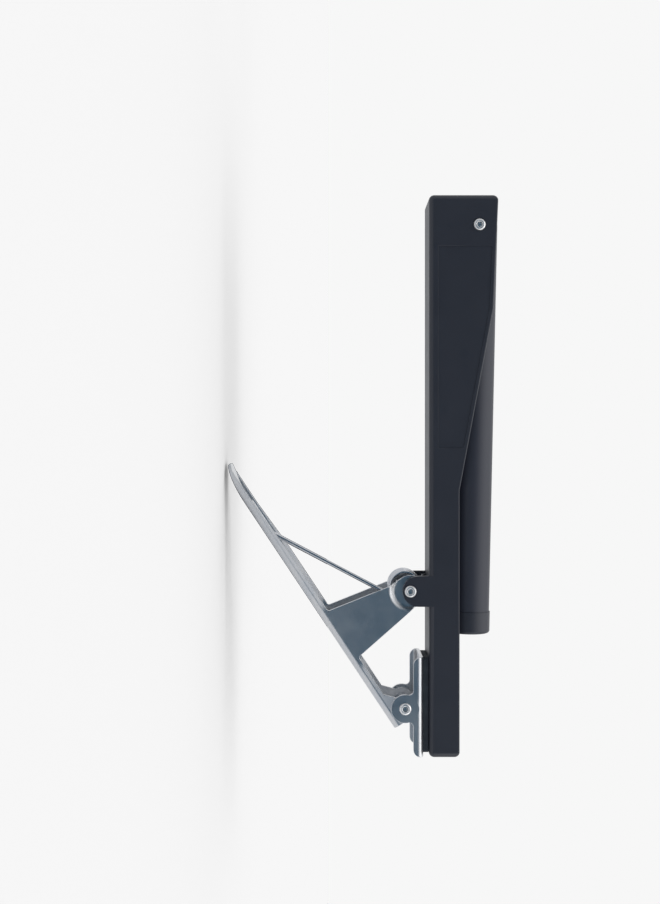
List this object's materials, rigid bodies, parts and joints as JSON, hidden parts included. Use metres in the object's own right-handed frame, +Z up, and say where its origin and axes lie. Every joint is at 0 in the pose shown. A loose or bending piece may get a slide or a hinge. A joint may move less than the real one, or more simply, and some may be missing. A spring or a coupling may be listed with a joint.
{
  "type": "table tennis net clamp",
  "caption": "Clip-on table tennis net clamp: channel arm over the table, sprung lever with a swivelling padded jaw below, and a folding net post.",
  "frame": {"origin": "underside of the arm, mid-width, at the face of the lugs that stops against the table's edge", "axes": "+X over the table, +Z up from the table top, -Y towards the side that the picture shows"},
  "size_m": [0.1953, 0.0238, 0.0952],
  "materials": {
    "black_plastic": "satin",
    "satin_black_tube": "satin",
    "zinc_plated_steel": "zinc plated",
    "bright_steel": "bright",
    "spring_steel": "drawn wire, plated",
    "black_rubber": "matt"
  },
  "bodies": {
    "arm_body": {"arm": "black_plastic", "hinge_rivet": "bright_steel", "hinge_washer_near": "zinc_plated_steel", "hinge_washer_far": "zinc_plated_steel", "lever_rivet": "bright_steel", "spring_bush": "zinc_plated_steel", "torsion_spring": "spring_steel"},
    "post_body": {"post_foot": "black_plastic", "post_tube": "satin_black_tube", "post_cap": "black_plastic"},
    "lever_body": {"lever": "zinc_plated_steel"},
    "jaw_body": {"jaw": "zinc_plated_steel", "jaw_pad": "black_rubber", "jaw_rivet": "bright_steel", "jaw_bush": "zinc_plated_steel"}
  },
  "joints": [
    {"name": "post_hinge", "type": "hinge", "parent": "arm_body", "child": "post_body", "pos_m": [-0.1324, 0, 0.01745], "axis": [0, -1, 0], "range_deg": [0, 91.25]},
    {"name": "lever_hinge", "type": "hinge", "parent": "arm_body", "child": "lever_body", "pos_m": [-0.0053, 0, -0.00647], "axis": [0, 1, 0], "range_deg": [0, 48], "stiffness_Nm_per_rad": 0.3, "springref_deg": -68.75, "deforming": ["torsion_spring"]},
    {"name": "jaw_hinge", "type": "hinge", "parent": "lever_body", "child": "jaw_body", "pos_m": [0.03537, 0, -0.00827], "axis": [0, 1, 0], "range_deg": [-48, 0]}
  ],
  "couplings": [
    {"joint": "jaw_hinge", "follows": "lever_hinge", "ratio": -1}
  ]
}
